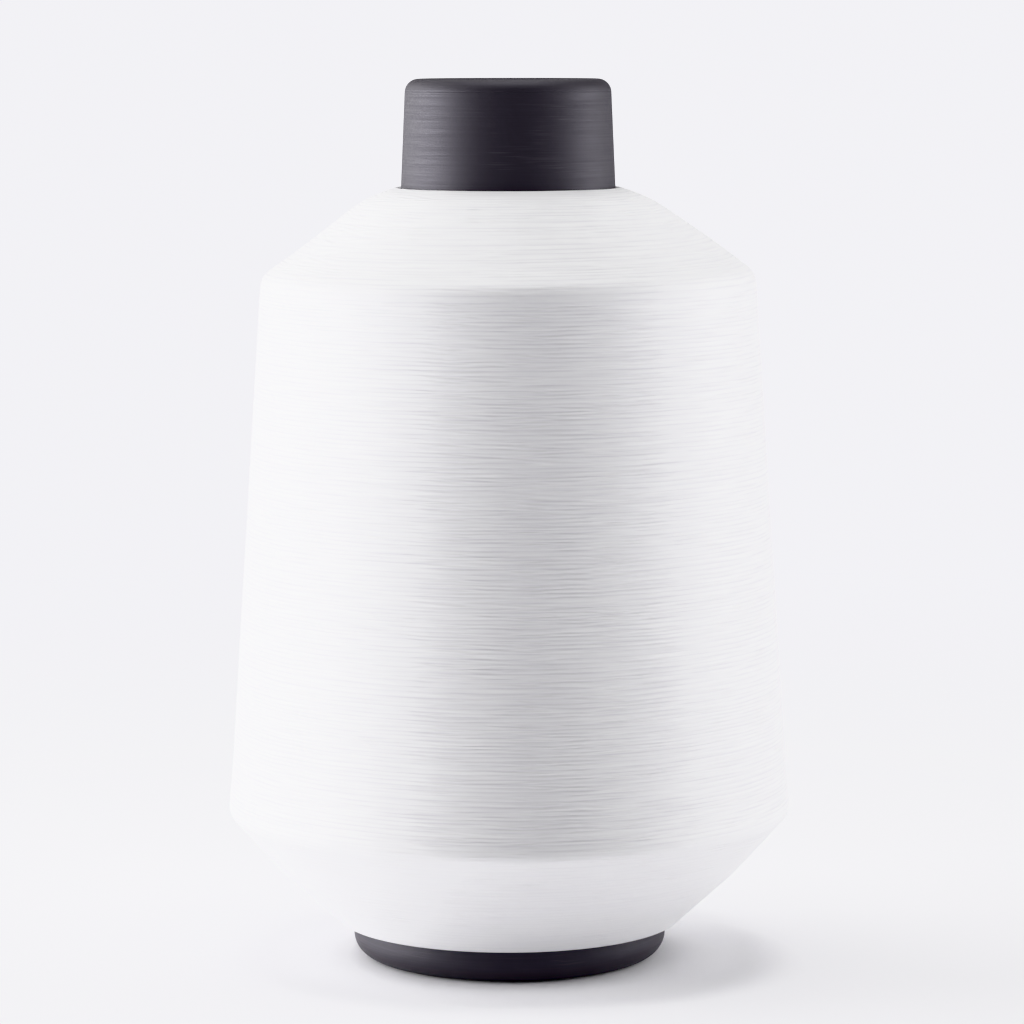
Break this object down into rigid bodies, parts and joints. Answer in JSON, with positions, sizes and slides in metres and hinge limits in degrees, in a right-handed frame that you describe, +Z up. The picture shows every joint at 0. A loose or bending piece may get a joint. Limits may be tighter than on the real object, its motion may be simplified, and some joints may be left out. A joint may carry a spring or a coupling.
{
  "type": "cone of thread",
  "caption": "Cone of white textured sewing thread, wound with a rounded shoulder and a bevelled lower end on a dark hollow plastic cone tube that stands on its foot.",
  "frame": {"origin": "on the surface that the cone stands on, at the middle of the tube's foot", "axes": "+Z up the axis of the cone, from the foot to the nose; the part is turned about +Z, so +X and +Y are free"},
  "size_m": [0.1472, 0.1472, 0.23],
  "materials": {
    "charcoal_plastic": "moulded satin charcoal plastic with faint turning lines and handling scuffs",
    "white_thread": "white textured filament thread with a soft lustre, fine near-level turns"
  },
  "bodies": {
    "root": {"cone_tube": "charcoal_plastic", "thread_package": "white_thread"}
  },
  "joints": []
}
